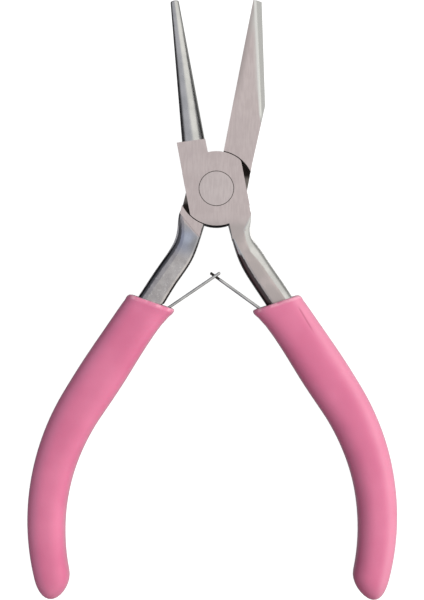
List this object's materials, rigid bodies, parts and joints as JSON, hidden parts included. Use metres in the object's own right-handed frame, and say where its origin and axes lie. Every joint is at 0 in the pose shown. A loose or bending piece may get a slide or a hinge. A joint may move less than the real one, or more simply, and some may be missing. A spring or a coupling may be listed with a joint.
{
  "type": "round nose pliers",
  "caption": "Spring-open lap-joint jewellery pliers with a tapered round jaw, a tapered flat jaw and soft sleeve grips.",
  "frame": {"origin": "pivot axis, on the back ground face of the joint", "axes": "+Z along the pivot axis towards the front ground face, +Y from the pivot towards the jaws, halfway between them, +X to the right seen from the front"},
  "size_m": [0.0751, 0.1219, 0.009],
  "materials": {
    "steel": "satin ground faces, polished round jaw",
    "rivet_steel": "ground flush",
    "spring_steel": "cold rolled strip",
    "pink_grip": "soft semi-gloss vinyl"
  },
  "bodies": {
    "flat_half": {"flat_jaw_half": "steel", "pivot_rivet": "rivet_steel", "left_grip": "pink_grip", "left_spring_foot": "spring_steel", "left_spring_rivet": "rivet_steel"},
    "round_half": {"round_jaw_half": "steel", "right_grip": "pink_grip", "right_spring_foot": "spring_steel", "right_spring_rivet": "rivet_steel"},
    "left_leaf": {"left_spring_blade": "spring_steel"},
    "right_leaf": {"right_spring_blade": "spring_steel"}
  },
  "joints": [
    {"name": "pivot", "type": "hinge", "parent": "flat_half", "child": "round_half", "pos_m": [0, 0, 0.0045], "axis": [0, 0, -1], "range_deg": [0, 22], "stiffness_Nm_per_rad": 0.6, "springref_deg": -20.05},
    {"name": "left_leaf_flex", "type": "hinge", "parent": "flat_half", "child": "left_leaf", "pos_m": [-0.01177, -0.0253, 0.0045], "axis": [0, 0, 1], "range_deg": [0, 17.4]},
    {"name": "right_leaf_flex", "type": "hinge", "parent": "round_half", "child": "right_leaf", "pos_m": [0.01185, -0.02626, 0.0045], "axis": [0, 0, -1], "range_deg": [0, 15.7]}
  ],
  "couplings": [
    {"joint": "left_leaf_flex", "follows": "pivot", "ratio": 0.784},
    {"joint": "right_leaf_flex", "follows": "pivot", "ratio": 0.7096}
  ]
}
